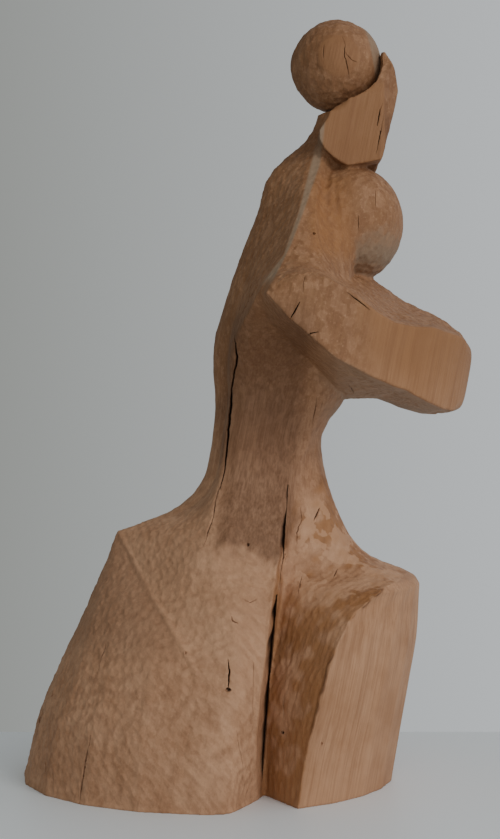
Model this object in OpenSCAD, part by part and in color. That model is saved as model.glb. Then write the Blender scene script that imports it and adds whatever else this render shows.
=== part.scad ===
// Abstract standing woman carved from one leaning log.
// X runs from her back to her front, Y from her right side to her left, Z up.
// The origin is the middle of the log's foot, on the surface that she stands on.
// The wood is one piece: the nodes are its carved masses, parted by plain saw planes
// that follow the creases, so every mass meets its neighbours face to face.

/* [Log] */
// Overall height, from the foot to the top of the hair bun
figure_h = 600; // [540:5:680]
// Width of the log's foot from back to front
log_w = 294; // [250:2:350]
// Width of the log's foot from side to side
log_t = 268; // [220:2:320]
// Forward lean of the log's axis, in degrees
log_lean = 10.8; // [8:0.2:13]

/* [Skirt] */
// Height of the corner where the skirt stands out behind
hip_h = 193; // [170:1:225]
// Distance of that corner behind the middle of the foot
hip_back = 72; // [56:1:90]
// Height of the skirt's edge in front
lap_h = 153; // [128:1:165]
// Distance of that edge before the middle of the foot
lap_reach = 168; // [150:1:190]
// Width of the slot between the rear and front skirts
slot_w = 6; // [3:0.5:10]
// Depth of that slot
slot_d = 26; // [12:1:34]

/* [Waist] */
// Height of the narrowest part
waist_h = 270; // [245:1:300]
// Waist from back to front
waist_w = 87; // [72:1:105]
// Waist from side to side
waist_t = 104; // [86:1:126]
// Middle of the waist before the middle of the foot
waist_x = 47; // [38:1:56]

/* [Arms] */
// Height of the elbows' point
elbow_h = 375; // [355:1:400]
// Width across the elbows
elbow_t = 240; // [200:2:254]
// Height of the ridge where the forearms leave the bust
ridge_h = 395; // [380:1:408]
// Height of the forearms' edge where the hands end
hand_top = 342; // [334:1:350]
// Height of the hands' underside
hand_low = 286; // [270:1:296]

/* [Bust] */
// Height of the bust's middle
bust_h = 437; // [430:1:444]
// Middle of the bust before the middle of the foot
bust_x = 112; // [106:1:118]
// How far the bust stands out from its middle
bust_reach = 44; // [36:1:52]
// Height of the bust, top to bottom
bust_rise = 94; // [84:1:104]
// Bust from side to side
bust_t = 110; // [92:2:126]

/* [Head] */
// Diameter of the hair bun
bun_d = 73; // [62:1:84]
// Middle of the bun before the middle of the foot
bun_x = 102; // [98:1:108]
// Face block from side to side
face_t = 72; // [60:1:84]
// Face block, how far it stands out before the bun's middle
face_reach = 48; // [42:1:56]
// Drop from the bun's middle to the chin
chin_drop = 84; // [80:1:90]
// Neck from side to side
neck_t = 54; // [44:1:62]

/* [Hidden] */

wood = "#a97c58";
pale_wood = "#b98f6c";
dark_wood = "#8d6547";
lean = tan(log_lean);
big = 900;
seam = 0.01;
crown_h = figure_h - bun_d / 2;
neck_h = crown_h - 72;
waist_back = waist_x - waist_w / 2;
waist_front = waist_x + waist_w / 2;
nape_x = bun_x - 16;
core_front = bun_x + 14;
// Where the forearms' ridge leaves the bust, seen from the side.
arm_top = [bust_x + 19, ridge_h];

// Heights of the figure's landmarks. A level of 3.5 is halfway from landmark 3 to landmark 4.
landmarks = [0, lap_h, hip_h, waist_h, elbow_h, neck_h, crown_h];

function height(u) = lookup(u, [for (i = [0:len(landmarks) - 1]) [i, landmarks[i]]]);
// Rows that begin with a level, given the height of that level instead.
function raised(rows) = [for (row = rows) [height(row[0]), row[1], row[2]]];

// Outlines of the body against the level: the spine, the front and half the thickness.
spine = raised([[0, -log_w / 2], [0.3, 11 - log_w / 2], [0.6, 30 - log_w / 2], [0.87, 49 - log_w / 2],
    [1.4, -hip_back - 10], [2, -hip_back], [2.09, 18 - hip_back], [2.18, 38 - hip_back],
    [2.36, 58 - hip_back], [2.62, waist_back - 5], [3, waist_back], [3.26, waist_back + 2],
    [3.49, waist_back], [3.71, waist_back + 1], [3.94, waist_back + 8], [4.22, nape_x - 65],
    [4.49, nape_x - 53], [4.66, nape_x - 46], [4.79, nape_x - 42], [4.93, nape_x - 33],
    [5.08, nape_x - 17], [5.17, nape_x - 9], [5.37, nape_x], [5.6, nape_x + 4]]);
front = raised([[0, log_w / 2], [0.27, log_w / 2 + 7], [0.53, log_w / 2 + 14], [0.78, lap_reach - 1],
    [1, lap_reach], [1.17, lap_reach - 5], [1.27, lap_reach - 15], [1.47, lap_reach - 35],
    [1.8, lap_reach - 51], [2.16, waist_front + 15], [2.42, waist_front + 7],
    [2.68, waist_front + 2], [2.94, waist_front], [3.05, waist_front + 3],
    [3.16, waist_front + 10], [3.3, core_front - 4], [4, core_front], [5, core_front - 4],
    [5.6, core_front - 4]]);
side = raised([[0, log_t / 2], [0.3, log_t / 2 - 3], [0.6, log_t / 2 - 12], [0.88, log_t / 2 - 29],
    [1, log_t / 2 - 40], [1.4, waist_t / 2 + 32], [2, waist_t / 2 + 21], [2.36, waist_t / 2 + 8],
    [2.62, waist_t / 2 + 3], [3, waist_t / 2], [3.3, waist_t / 2 + 2], [3.57, waist_t / 2 + 16],
    [3.76, elbow_t / 2 - 32], [3.96, elbow_t / 2 - 2], [4, elbow_t / 2], [4.12, elbow_t / 2 - 8],
    [4.28, elbow_t / 2 - 23], [4.56, elbow_t / 2 - 50], [4.68, elbow_t / 2 - 60],
    [4.9, neck_t / 2 + 8], [5, neck_t / 2 + 1], [5.11, neck_t / 2 - 2], [5.6, neck_t / 2 - 8]]);

// Edges that run up the body. Each row is a level, then the edge's place there: from 0 at the
// spine to 1 at the front, and from 0 in the middle to 1 at half the thickness.
hip_edge = raised([[0, 0.5, 1], [0.3, 0.46, 1], [0.6, 0.41, 0.98], [0.73, 0.34, 0.93],
    [0.88, 0.25, 0.78], [1, 0.165, 0.56], [1.4, 0.11, 0.35], [1.72, 0.06, 0.19], [2, 0.02, 0.05],
    [2.18, 0.06, 0.18], [2.36, 0.1, 0.3], [3, 0.1, 0.42], [4, 0.12, 0.35], [5.6, 0.12, 0.4]]);
rib_rear = raised([[0, 0.53, 0.995], [0.6, 0.46, 1], [1, 0.3, 0.86], [1.17, 0.305, 0.88],
    [1.4, 0.333, 0.91], [1.72, 0.371, 0.94], [2, 0.393, 0.95], [2.09, 0.343, 0.94],
    [2.18, 0.268, 0.93], [2.34, 0.18, 0.92], [2.74, 0.13, 0.9], [3.39, 0.145, 0.9],
    [3.64, 0.16, 0.88], [3.78, 0.2, 0.9], [4.03, 0.28, 0.945], [4.21, 0.38, 0.95],
    [4.51, 0.43, 0.95], [5, 0.46, 0.9], [5.6, 0.5, 0.85]]);
rib_front = raised([[0, 0.57, 0.96], [0.6, 0.51, 0.99], [1, 0.42, 1], [1.17, 0.426, 1],
    [1.4, 0.468, 1], [1.72, 0.52, 1], [2, 0.546, 1], [2.09, 0.515, 1], [2.18, 0.471, 1],
    [2.34, 0.435, 1], [2.74, 0.41, 1], [3.1, 0.4, 1], [3.76, 0.38, 1], [4, 0.345, 0.985],
    [4.28, 0.435, 0.98], [4.56, 0.485, 0.98], [4.9, 0.6, 0.95], [5.6, 0.6, 0.9]]);
slot_edge = raised([[0, 0.633, 0.68], [0.3, 0.6, 0.83], [0.7, 0.562, 0.9], [1, 0.545, 0.95],
    [1.17, 0.556, 0.96], [1.4, 0.61, 0.97], [1.72, 0.685, 0.97], [2, 0.705, 0.97],
    [2.09, 0.691, 0.97], [2.18, 0.674, 0.96], [2.36, 0.67, 0.94], [2.62, 0.737, 0.87],
    [3, 0.88, 0.66], [3.25, 0.85, 0.75], [3.57, 0.8, 0.95], [3.76, 0.83, 0.97],
    [3.96, 0.82, 0.99], [4.12, 0.73, 0.98], [4.38, 0.63, 0.97], [4.68, 0.61, 0.97],
    [4.9, 0.66, 0.9], [5.6, 0.7, 0.8]]);
slot_root = raised([[0, 0.65, 0.56], [0.7, 0.585, 0.6], [1, 0.575, 0.66], [1.17, 0.586, 0.68],
    [1.4, 0.637, 0.7], [1.72, 0.71, 0.71], [2, 0.73, 0.72], [2.09, 0.716, 0.74],
    [2.18, 0.699, 0.76], [2.36, 0.695, 0.79], [2.62, 0.76, 0.77], [3, 0.9, 0.6], [3.25, 0.88, 0.68],
    [3.57, 0.86, 0.8], [3.96, 0.88, 0.8], [4.12, 0.8, 0.8], [4.38, 0.7, 0.8], [4.68, 0.72, 0.72],
    [5, 0.78, 0.7], [5.6, 0.82, 0.6]]);
lap_edge = raised([[0, 0.73, 0.87], [0.23, 0.727, 0.89], [0.51, 0.73, 0.95], [0.7, 0.735, 1],
    [0.88, 0.763, 1.06], [1, 0.84, 1.05], [1.1, 0.88, 0.94], [1.17, 0.905, 0.81], [1.27, 0.92, 0.69],
    [1.47, 0.92, 0.6], [1.8, 0.925, 0.57], [2.09, 0.926, 0.55], [2.36, 0.93, 0.52],
    [3, 0.965, 0.35], [3.25, 0.95, 0.5], [4, 0.93, 0.55], [4.68, 0.93, 0.7], [5, 0.88, 0.6], [5.6, 0.9, 0.5]]);

// A smooth curve through rows of numbers that never swings past them.
function slope(rows, i, c) =
    (rows[i + 1][c] - rows[i][c]) / (rows[i + 1][0] - rows[i][0]);
function tangent(rows, i, c) =
    i <= 0 ? slope(rows, 0, c) :
    i >= len(rows) - 1 ? slope(rows, len(rows) - 2, c) :
    let (a = slope(rows, i - 1, c), b = slope(rows, i, c))
    a * b <= 0 ? 0 : 2 * a * b / (a + b);
function row_below(rows, z, i = 0) =
    i >= len(rows) - 2 || rows[i + 1][0] >= z ? i : row_below(rows, z, i + 1);
function hermite(a, ta, b, tb, t) =
    a * (2 * pow(t, 3) - 3 * t * t + 1) + ta * (pow(t, 3) - 2 * t * t + t)
    + b * (3 * t * t - 2 * pow(t, 3)) + tb * (pow(t, 3) - t * t);
function curve(rows, z, c = 1) =
    let (i = row_below(rows, z), gap = rows[i + 1][0] - rows[i][0], t = (z - rows[i][0]) / gap)
    hermite(rows[i][c], tangent(rows, i, c) * gap, rows[i + 1][c], tangent(rows, i + 1, c) * gap, t);

// The point of an edge at a height, in the plane of that height.
function on_edge(edge, z) =
    let (b = curve(spine, z), f = curve(front, z))
    [b + (f - b) * curve(edge, z, 1), curve(side, z) * curve(edge, z, 2)];
// The arc of an ellipse from the middle plane at x = start to a point, without its last point.
function round_to(start, p, mid, n) =
    let (a = start - mid, end = acos(min(0.995, (p[0] - mid) / a)), b = p[1] / sin(end))
    [for (k = [0:n - 1]) [mid + a * cos(end * k / n), b * sin(end * k / n)]];
// A stretch of a curve through p, from q to r, towards s; soft is 0 for a straight line.
function stretch(p, q, r, s, n, soft) =
    [for (k = [0:n - 1]) hermite(q, (r - p) / 2 * soft + (r - q) * (1 - soft), r,
        (s - q) / 2 * soft + (r - q) * (1 - soft), k / n)];
function back_to_front(list) = [for (i = [len(list) - 1:-1:0]) list[i]];

// Half of the body's outline at a height, from the spine round her left side to the front.
function half_outline(z) =
    let (mid = lean * z,
         hip = on_edge(hip_edge, z), rear = on_edge(rib_rear, z), fore = on_edge(rib_front, z),
         lip = on_edge(slot_edge, z), root = on_edge(slot_root, z), lap = on_edge(lap_edge, z),
         soft = min(1, max(0, (elbow_h - z) / 35)))
    concat(round_to(curve(spine, z), hip, max(mid, hip[0] + 8), 5),
        stretch(hip, hip, rear, fore, 4, soft), stretch(hip, rear, fore, lip, 2, soft),
        stretch(rear, fore, lip, lip, 4, soft), stretch(lip, lip, root, root, 2, 0),
        stretch(root, root, lap, lap, 4, 0), [lap],
        back_to_front(round_to(curve(front, z), lap, min(mid, lap[0] - 8), 5)));
function outline(z) =
    let (half = half_outline(z))
    concat(half, [for (i = [len(half) - 2:-1:1]) [half[i][0], -half[i][1]]]);

// The heights of the body's outlines, closer together where it turns sharply.
cuts_between = [11, 8, 11, 9, 11, 6];
slices = concat([for (i = [0:5], k = [0:cuts_between[i] - 1])
    if (i + k / cuts_between[i] < 5.6) height(i + k / cuts_between[i])], [height(5.6)]);

// A closed solid through rings of the same number of points, listed from the first end to the last.
module skin(rings) {
    n = len(rings[0]);
    last = len(rings) - 1;
    walls = [for (j = [0:last - 1], i = [0:n - 1])
        let (a = j * n + i, b = j * n + (i + 1) % n)
        each [[a, b, a + n], [b, b + n, a + n]]];
    ends = [[for (i = [0:n - 1]) n - 1 - i], [for (i = [0:n - 1]) last * n + i]];
    polyhedron([for (ring = rings) each ring], concat(ends, walls));
}

// Skirts, waist, back, upper arms and neck.
module body() {
    skin([for (z = slices) [for (p = outline(z)) [p[0], p[1], z]]]);
}

// The log itself, leaning forward.
module log_round(margin = 0) {
    multmatrix([[1, 0, lean, 0], [0, 1, 0, 0], [0, 0, 1, 0], [0, 0, 0, 1]])
        scale([log_w / 2 + margin, log_t / 2 + margin, 1])
            cylinder(h = figure_h, r = 1, $fn = 96);
}

// Both forearms, joined before her: a wedge with a ridge and a keel, rounded off by the log.
hand_end = lean * (hand_top + hand_low) / 2 + log_w / 2;
ridge_side = [[waist_x - 7, hand_low + 44], [waist_x - 7, ridge_h - 3], [bust_x - 32, ridge_h + 13],
    [bust_x - 6, ridge_h + 9], arm_top, [bust_x + 42, ridge_h - 16],
    [hand_end - 22, hand_top + 22], [hand_end - 4, hand_top + 9], [hand_end + 3, hand_top - 1],
    [hand_end + 3, hand_low + 26], [hand_end - 2, hand_low + 8], [hand_end - 9, hand_low],
    [hand_end - 30, hand_low + 2], [hand_end - 54, hand_low + 8], [hand_end - 70, hand_low + 12],
    [hand_end - 87, hand_low + 12], [hand_end - 103, hand_low + 11], [waist_x + 43, hand_low + 19]];
log_side = [[waist_x - 3, elbow_h - 3], [waist_x - 1, elbow_h + 3], [bust_x - 37, elbow_h + 12],
    [bust_x - 7, elbow_h - 7], [bust_x + 11, elbow_h - 24], [bust_x + 23, hand_top + 1],
    [hand_end - 47, hand_top - 2], [hand_end - 27, hand_top - 8], [hand_end - 4, hand_top - 20],
    [hand_end + 3, hand_low + 22], [hand_end - 2, hand_low + 12], [hand_end - 10, hand_low],
    [hand_end - 27, hand_low + 2], [hand_end - 41, hand_low + 8], [hand_end - 57, hand_low + 16],
    [hand_end - 78, hand_low + 23], [waist_x + 47, hand_low + 38], [waist_x + 15, elbow_h - 24]];
module forearms() {
    reach = log_t / 2 + 5;
    intersection() {
        skin([for (y = [reach, reach / 2, 0, -reach / 2, -reach])
            let (out = abs(y) / reach)
            [for (i = [0:len(ridge_side) - 1])
                let (p = ridge_side[i] * (1 - out) + log_side[i] * out) [p[0], y, p[1]]]]);
        log_round();
    }
}

// The bust: a rounded mass with flat flanks and a flat facet under each side.
module bust_mass() {
    intersection() {
        translate([bust_x, 0, bust_h])
            scale([bust_reach, bust_t / 2 + 3, bust_rise / 2])
                sphere(r = 1, $fn = 40);
        translate([bust_x - big / 2, -bust_t / 2, 0])
            cube([big, bust_t, big]);
        bust_facet(1);
        bust_facet(-1);
    }
}
module bust_facet(flank) {
    translate([bust_x + bust_reach - 14, flank * (bust_t / 2 - 12), bust_h - bust_rise / 2 + 22])
        rotate([flank * 38, 0, 0])
            rotate([0, 24, 0])
                translate([-big, -big / 2, -big / 2])
                    cube([big + 8, big, big]);
}

// The face block, seen from the side as an outline and from above as a rounded wedge.
module face_mass() {
    intersection() {
        translate([bun_x, big / 2, crown_h])
            rotate([90, 0, 0])
                linear_extrude(big)
                    difference() {
                        offset(r = 4, $fn = 24)
                            offset(delta = -4)
                                polygon([[20, 30], [36, 9], [face_reach - 3, -8],
                                    [face_reach, -24], [face_reach - 3, -38],
                                    [face_reach - 8, -58], [face_reach - 14, 3 - chin_drop],
                                    [face_reach - 24, 1 - chin_drop], [7, -chin_drop - 2],
                                    [-4, 4 - chin_drop], [-11, 11 - chin_drop], [-15, -66],
                                    [-15, -58], [-8, -48], [-4, -30], [10, 0]]);
                        circle(d = bun_d - 4, $fn = 64);
                    }
        translate([0, 0, crown_h])
            rotate([90, 0, 90])
                linear_extrude(big)
                    offset(r = 4, $fn = 24)
                        offset(delta = -4)
                            polygon([for (left = [-1, 1])
                                let (rows = [[0, 10 - chin_drop], [1, -chin_drop - 6], [1, -30],
                                    [0.86, -17], [0.7, -4], [0.5, 12], [0.3, 24], [0.12, 31]],
                                    last = len(rows) - 1)
                                each [for (i = [0:last])
                                    let (row = rows[left > 0 ? i : last - i])
                                    [left * row[0] * face_t / 2, row[1]]]]);
        translate([bun_x, 0, 0])
            linear_extrude(figure_h)
                polygon([[-30, -face_t / 2], [face_reach - 15, -face_t / 2],
                    [face_reach - 4, 12 - face_t / 2], [face_reach + 2, 20 - face_t / 2],
                    [face_reach + 2, face_t / 2 - 20], [face_reach - 4, face_t / 2 - 12],
                    [face_reach - 15, face_t / 2], [-30, face_t / 2]]);
    }
}

module bun_mass() {
    translate([bun_x, 0, crown_h])
        hull()
            sphere(d = bun_d, $fn = 44);
}

// One blade of the slot between the skirts, thin at its root, as a chain along the edge.
module slot_blade() {
    steps = 9;
    for (k = [0:steps - 1])
        hull()
            for (u = [0.9 + 1.9 * k / steps, 0.9 + 1.9 * (k + 1) / steps])
                let (lip = on_edge(slot_edge, height(u)), fade = sin(180 * (u - 0.75) / 2.2))
                translate([lip[0] + slot_w / 2, lip[1] + 4, height(u)])
                    linear_extrude(seam)
                        polygon([[-slot_w / 2 * fade, 0], [slot_w / 2 * fade + 1, 0],
                            [0.8, -slot_d * fade], [-0.8, -slot_d * fade]]);
}

module carving() {
    difference() {
        union() {
            body();
            forearms();
            bust_mass();
            face_mass();
        }
        slot_blade();
        mirror([0, 1, 0])
            slot_blade();
    }
}

// Saw planes. Each runs straight across the figure, through a point seen from the side.
hip_cut = hip_h + 21;
chin_cut = crown_h - chin_drop - 3;
nape_cut = bun_x - 15.5;
slot_foot = on_edge(slot_root, 0);
slot_top = on_edge(slot_root, hip_cut);
elbow = [on_edge(rib_front, elbow_h)[0], elbow_h];
shoulder = [on_edge(rib_front, height(4.9))[0], height(4.9)];
armpit = [waist_front + 14, hand_low - 2];
arm_slope = 18;
hollow_turn = 35;
slot_turn = atan2(slot_top[0] - slot_foot[0], hip_cut);
arm_turn = atan2(elbow[0] - armpit[0], elbow[1] - armpit[1]);
back_turn = atan2(shoulder[0] - elbow[0], shoulder[1] - elbow[1]);

// Everything before a plane through [x, z]; turn tips the plane's face down, in degrees.
module ahead(point, turn) {
    translate([point[0], 0, point[1]])
        rotate([0, turn, 0])
            translate([0, -big, -big])
                cube([big, 2 * big, 2 * big]);
}
module behind(point, turn) {
    ahead(point, turn + 180);
}
module above(z) {
    ahead([0, z], -90);
}
module below(z) {
    ahead([0, z], 90);
}
// What lies outside or inside the hollow between the bust and a shoulder; 1 is her left side.
module flank(left, outside) {
    mirror([0, (1 - left) / 2, 0])
        translate([bust_x - 4, bust_t / 2 - 2, -big])
            rotate([0, 0, hollow_turn])
                translate([-big, outside ? 0 : -big, 0])
                    cube([2 * big, big, 2 * big]);
}
module her_side(left) {
    translate([-big, left > 0 ? 0 : -big, -big])
        cube([2 * big, big, 2 * big]);
}

// Everything over the forearms' sloping top, or under it.
module over_arms() {
    ahead(arm_top, arm_slope - 90);
}
module under_arms_top() {
    ahead(arm_top, arm_slope + 90);
}

module hair_bun() {
    color(wood)
        bun_mass();
}

module head_part() {
    difference() {
        carving();
        bun_mass();
    }
}

module face_block() {
    color(pale_wood)
        intersection() {
            head_part();
            above(chin_cut);
            ahead([nape_cut, chin_cut], 0);
        }
}

module neck() {
    color(dark_wood)
        intersection() {
            head_part();
            above(chin_cut);
            behind([nape_cut, chin_cut], 0);
        }
}

// The body's front above the forearms: the bust and both shoulders before they are parted.
module chest() {
    intersection() {
        carving();
        below(chin_cut);
        ahead(elbow, back_turn);
        over_arms();
    }
}

module bust() {
    color(pale_wood)
        intersection() {
            chest();
            flank(1, false);
            flank(-1, false);
        }
}

module shoulder_part(left) {
    intersection() {
        chest();
        flank(left, true);
        her_side(left);
    }
}

module right_shoulder() {
    color(wood)
        shoulder_part(-1);
}

module left_shoulder() {
    color(wood)
        shoulder_part(1);
}

module forearm_part(left) {
    intersection() {
        carving();
        ahead(elbow, back_turn);
        ahead(elbow, arm_turn);
        her_side(left);
        under_arms_top();
    }
}

module right_forearm() {
    color(pale_wood)
        forearm_part(-1);
}

module left_forearm() {
    color(pale_wood)
        forearm_part(1);
}

module back() {
    color(dark_wood)
        intersection() {
            carving();
            below(chin_cut);
            above(elbow_h);
            behind(elbow, back_turn);
        }
}

module waist() {
    color(dark_wood)
        intersection() {
            carving();
            above(hip_cut);
            below(elbow_h);
            behind(elbow, arm_turn);
        }
}

module rear_skirt() {
    color(wood)
        intersection() {
            carving();
            below(hip_cut);
            behind([slot_foot[0], 0], slot_turn);
        }
}

module front_skirt() {
    color(pale_wood)
        intersection() {
            carving();
            below(hip_cut);
            ahead([slot_foot[0], 0], slot_turn);
        }
}

hair_bun();
face_block();
neck();
bust();
back();
right_shoulder();
left_shoulder();
right_forearm();
left_forearm();
waist();
rear_skirt();
front_skirt();
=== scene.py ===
"""Looks of a standing woman carved from one leaning log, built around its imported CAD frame."""

from __future__ import annotations

import logging
import math
from dataclasses import dataclass, field
from enum import Enum
from typing import Callable, Sequence

import bmesh
import bpy
import numpy as np
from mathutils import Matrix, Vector
from mathutils.bvhtree import BVHTree
from mathutils.kdtree import KDTree


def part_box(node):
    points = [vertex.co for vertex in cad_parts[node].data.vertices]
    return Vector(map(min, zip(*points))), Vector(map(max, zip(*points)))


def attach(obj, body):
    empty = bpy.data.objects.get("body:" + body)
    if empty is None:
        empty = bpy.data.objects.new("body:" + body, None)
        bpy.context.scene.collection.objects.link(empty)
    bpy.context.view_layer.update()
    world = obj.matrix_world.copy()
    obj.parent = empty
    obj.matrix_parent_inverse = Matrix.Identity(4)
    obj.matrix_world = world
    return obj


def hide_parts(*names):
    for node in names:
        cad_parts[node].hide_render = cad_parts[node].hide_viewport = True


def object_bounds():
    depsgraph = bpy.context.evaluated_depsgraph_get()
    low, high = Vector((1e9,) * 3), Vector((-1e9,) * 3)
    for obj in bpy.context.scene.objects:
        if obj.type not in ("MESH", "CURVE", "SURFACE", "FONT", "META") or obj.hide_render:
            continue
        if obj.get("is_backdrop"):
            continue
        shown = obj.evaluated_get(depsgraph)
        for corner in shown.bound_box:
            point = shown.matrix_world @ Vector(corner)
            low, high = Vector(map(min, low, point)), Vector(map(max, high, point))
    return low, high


LOG = logging.getLogger("figure")
MM = 0.001
BODY = "root"
SEED = 2306

# The gouge cuts on the rear skirt slant: the cosine and sine of their slope, and how far forward and
# up they reach, in metres.
SLANT_COS, SLANT_SIN = 0.766, 0.643
SLANT_FRONT, SLANT_TOP = 0.045, 0.2
MERGE_REACH = 0.013     # how far two merged masses run into each other, in metres


class Finish(Enum):
    """The wood's two finishes, each with its own material."""

    CARVED = "carved_wood"
    SMOOTH = "smooth_wood"


@dataclass(frozen=True)
class Log:
    """The log, a leaning cylinder with an oval section.

    Attributes:
        half_w: Half of its width from back to front, in metres.
        half_t: Half of its width from side to side, in metres.
        lean: How far its axis moves forward for each metre of height.
    """

    half_w: float = 0.147
    half_t: float = 0.134
    lean: float = math.tan(math.radians(10.8))

    def rim(self, p: np.ndarray) -> np.ndarray:
        """Tells how far points lie from the axis, as a share of the way to the bark.

        Args:
            p: Points, one to a row, in metres.

        Returns:
            One share for each point, 1 on the log's own surface.
        """
        return np.hypot((p[:, 0] - self.lean * p[:, 2]) / self.half_w, p[:, 1] / self.half_t)


@dataclass(frozen=True)
class Saw:
    """A plane that parts two masses of the carving, straight across the figure.

    Attributes:
        x: A point's place on the plane, seen from the side, in metres.
        z: The same point's height, in metres.
        turn: Turn of the plane's face from straight ahead towards the ground, in degrees.
        yaw: Turn of the plane's face towards her left side, in degrees.
        y: The point's distance to her left, in metres.
    """

    x: float
    z: float
    turn: float
    yaw: float = 0.0
    y: float = 0.0

    def normal(self) -> Vector:
        """Gives the direction that the plane faces."""
        t, w = math.radians(self.turn), math.radians(self.yaw)
        return Vector((math.cos(t) * math.cos(w), math.cos(t) * math.sin(w), -math.sin(t)))

    def block(self, size: float = 3.0) -> bpy.types.Object:
        """Makes a large box that fills everything before the plane.

        Args:
            size: Side of the box, in metres.

        Returns:
            The box as an object.
        """
        bm = bmesh.new()
        bmesh.ops.create_cube(bm, size=size)
        bmesh.ops.translate(bm, verts=bm.verts, vec=(0, 0, size / 2))
        turn = self.normal().to_track_quat("Z", "Y").to_matrix()
        bmesh.ops.rotate(bm, verts=bm.verts, cent=(0, 0, 0), matrix=turn)
        bmesh.ops.translate(bm, verts=bm.verts, vec=(self.x, self.y, self.z))
        return solid_object("saw", bm)


@dataclass(frozen=True)
class Crack:
    """A drying crack, cut as a thin wedge that narrows to both ends.

    Attributes:
        path: Points along the surface, in millimetres.
        width: Greatest width, in millimetres.
        depth: Greatest depth, in millimetres.
        wander: How far the crack strays to both sides, in millimetres.
        both_sides: Whether her other side has the same crack.
        inward: The way it goes into the wood, or None for straight in from the surface.
        blunt: Share of the width at its ends.
        placed: Whether its points are exact, and not moved onto the surface.
    """

    path: tuple[tuple[float, float, float], ...]
    width: float = 1.6
    depth: float = 9.0
    wander: float = 0.5
    both_sides: bool = False
    inward: tuple[float, float, float] | None = None
    blunt: float = 0.12
    placed: bool = False


@dataclass(frozen=True)
class Pit:
    """A knot hole or a chip.

    Attributes:
        at: Its middle, in millimetres.
        size: Its half sizes, in millimetres.
    """

    at: tuple[float, float, float]
    size: tuple[float, float, float]


@dataclass(frozen=True)
class Part:
    """One carved mass of the figure.

    Attributes:
        node: Name of the CAD node that it stands for.
        finish: Its material slot.
    """

    node: str
    finish: Finish


@dataclass(frozen=True)
class Grain:
    """Sizes of the carving's surface.

    Attributes:
        voxel: Edge of the mesh's cells, in metres.
        facet: Distance between gouge cuts, in metres.
        stretch: How much longer than wide a cut is.
        depth: Depth of a cut, in metres.
        waver: Depth of the slow unevenness, in metres.
    """

    voxel: float = 0.00115
    facet: float = 0.0047
    stretch: float = 1.75
    depth: float = 0.00085
    waver: float = 0.0007


def solid_object(name: str, bm: bmesh.types.BMesh) -> bpy.types.Object:
    """Turns a bmesh into an object in the scene, with its faces outward.

    Args:
        name: The object's name.
        bm: The bmesh, which is freed.

    Returns:
        The new object.
    """
    bmesh.ops.recalc_face_normals(bm, faces=bm.faces)
    mesh = bpy.data.meshes.new(name)
    bm.to_mesh(mesh)
    bm.free()
    obj = bpy.data.objects.new(name, mesh)
    bpy.context.scene.collection.objects.link(obj)
    return obj


def remove(obj: bpy.types.Object) -> None:
    """Removes an object and its mesh.

    Args:
        obj: The object.
    """
    mesh = obj.data
    bpy.data.objects.remove(obj)
    bpy.data.meshes.remove(mesh)


def apply_modifiers(obj: bpy.types.Object) -> None:
    """Makes an object's modifiers part of its mesh.

    Args:
        obj: The object.
    """
    shown = obj.evaluated_get(bpy.context.evaluated_depsgraph_get())
    made = bpy.data.meshes.new_from_object(shown)
    old = obj.data
    obj.modifiers.clear()
    obj.data = made
    bpy.data.meshes.remove(old)


def combine(obj: bpy.types.Object, others: Sequence[bpy.types.Object], how: str) -> None:
    """Cuts or joins an object with others, which are then removed.

    Args:
        obj: The object that changes.
        others: The objects to use on it.
        how: UNION, DIFFERENCE or INTERSECT.
    """
    for k, other in enumerate(others):
        step = obj.modifiers.new(f"{how.lower()}_{k}", "BOOLEAN")
        step.operation, step.solver, step.object = how, "MANIFOLD", other
    apply_modifiers(obj)
    for other in others:
        remove(other)


def copy_of(obj: bpy.types.Object, name: str) -> bpy.types.Object:
    """Copies an object together with its mesh.

    Args:
        obj: The object.
        name: The copy's name.

    Returns:
        The copy, in the scene.
    """
    twin = obj.copy()
    twin.data = obj.data.copy()
    twin.name = twin.data.name = name
    bpy.context.scene.collection.objects.link(twin)
    return twin


def split(obj: bpy.types.Object, saw: Saw, front: str, rear: str) -> tuple:
    """Saws an object in two along a plane.

    Args:
        obj: The object, which becomes the part behind the plane.
        saw: The plane.
        front: Name of the part before the plane.
        rear: Name of the part behind it.

    Returns:
        The part before the plane and the part behind it.
    """
    ahead = copy_of(obj, front)
    combine(ahead, [saw.block()], "INTERSECT")
    combine(obj, [saw.block()], "DIFFERENCE")
    obj.name = obj.data.name = rear
    return ahead, obj


def positions(mesh: bpy.types.Mesh) -> np.ndarray:
    """Gives a mesh's vertices as an array.

    Args:
        mesh: The mesh.

    Returns:
        The vertices, one to a row, in metres.
    """
    co = np.empty(len(mesh.vertices) * 3, np.float32)
    mesh.vertices.foreach_get("co", co)
    return co.reshape(-1, 3).astype(float)


def normals(mesh: bpy.types.Mesh) -> np.ndarray:
    """Gives a mesh's vertex normals as an array.

    Args:
        mesh: The mesh.

    Returns:
        The unit normals, one to a row.
    """
    no = np.empty(len(mesh.vertices) * 3, np.float32)
    mesh.vertex_normals.foreach_get("vector", no)
    return no.reshape(-1, 3).astype(float)


def set_positions(mesh: bpy.types.Mesh, p: np.ndarray) -> None:
    """Moves a mesh's vertices."""
    mesh.vertices.foreach_set("co", p.astype(np.float32).ravel())
    mesh.update()


def ramp(low: float, high: float, value: np.ndarray) -> np.ndarray:
    """Rises smoothly from 0 at low to 1 at high; high may be the lower one."""
    t = np.clip((value - low) / (high - low), 0, 1)
    return t * t * (3 - 2 * t)


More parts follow.
